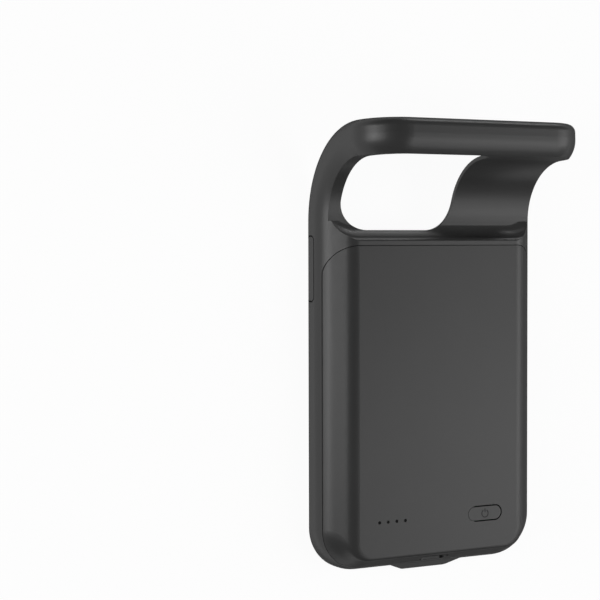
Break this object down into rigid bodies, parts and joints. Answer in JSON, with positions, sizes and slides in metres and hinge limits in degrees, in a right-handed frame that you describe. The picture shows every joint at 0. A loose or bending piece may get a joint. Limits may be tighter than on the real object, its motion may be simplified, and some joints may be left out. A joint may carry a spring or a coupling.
{
  "type": "battery charging case",
  "caption": "Soft phone case with a slim battery hump, its soft top bent back to let the phone in; power key, charge lights, plug in the bay and charge port.",
  "frame": {"origin": "middle of the case's bounding box, on the plane of the front rim that it lies on", "axes": "+Z out of the back of the case, +Y towards its bent top, +X to the right seen from the back"},
  "size_m": [0.0758, 0.1354, 0.0404],
  "materials": {
    "soft_shell": "soft matt charcoal moulding",
    "hard_cover": "fine matt charcoal, soft-touch",
    "inner_panel": "plain dark moulding",
    "key": "as the cover",
    "clear_guide": "clear plastic",
    "pouch_foil": "laminated foil",
    "nickel": "nickel strip",
    "circuit_board": "green solder mask",
    "copper_strip": "bare copper",
    "tape": "adhesive film",
    "foam": "closed-cell foam",
    "plug_metal": "drawn steel",
    "dark_insert": "black moulding",
    "gold_contact": "gold plating",
    "flat_lead": "amber film",
    "switch_can": "tinned steel",
    "switch_stem": "black moulding",
    "ferrite": "grey ferrite",
    "ceramic": "fired ceramic",
    "screw_steel": "plated steel",
    "led_body": "white diode body"
  },
  "bodies": {
    "case": {"soft_frame": "soft_shell", "back_cover": "hard_cover", "inner_tray": "inner_panel", "light_guide": "clear_guide", "battery_cell": "pouch_foil", "cell_tab_positive": "nickel", "cell_tab_negative": "nickel", "protection_board": "circuit_board", "main_board": "circuit_board", "cell_lead_positive": "copper_strip", "cell_lead_negative": "copper_strip", "cell_tape": "tape", "cushion_foam": "foam", "plug_shell": "plug_metal", "port_shell": "plug_metal", "plug_insert": "dark_insert", "port_tongue": "dark_insert", "plug_base": "dark_insert", "plug_contacts": "gold_contact", "plug_flex": "flat_lead", "tact_switch": "switch_can", "power_chip": "dark_insert", "boost_inductor": "ferrite", "board_capacitors": "ceramic", "board_screws": "screw_steel", "status_led_1": "led_body", "status_led_2": "led_body", "status_led_3": "led_body", "status_led_4": "led_body"},
    "power_key": {"power_key": "key"},
    "switch_stem": {"switch_stem": "switch_stem"}
  },
  "joints": [
    {"name": "key_press", "type": "hinge", "parent": "case", "child": "power_key", "pos_m": [0.01044, -0.0509, 0.0147], "axis": [0, 1, 0], "range_deg": [0, 2], "stiffness_Nm_per_rad": 0.3},
    {"name": "stem_press", "type": "slide", "parent": "case", "child": "switch_stem", "axis": [0, 0, -1], "range_m": [0, 0.0003]}
  ],
  "couplings": [
    {"joint": "stem_press", "follows": "key_press", "m_per_rad": 0.00816}
  ]
}
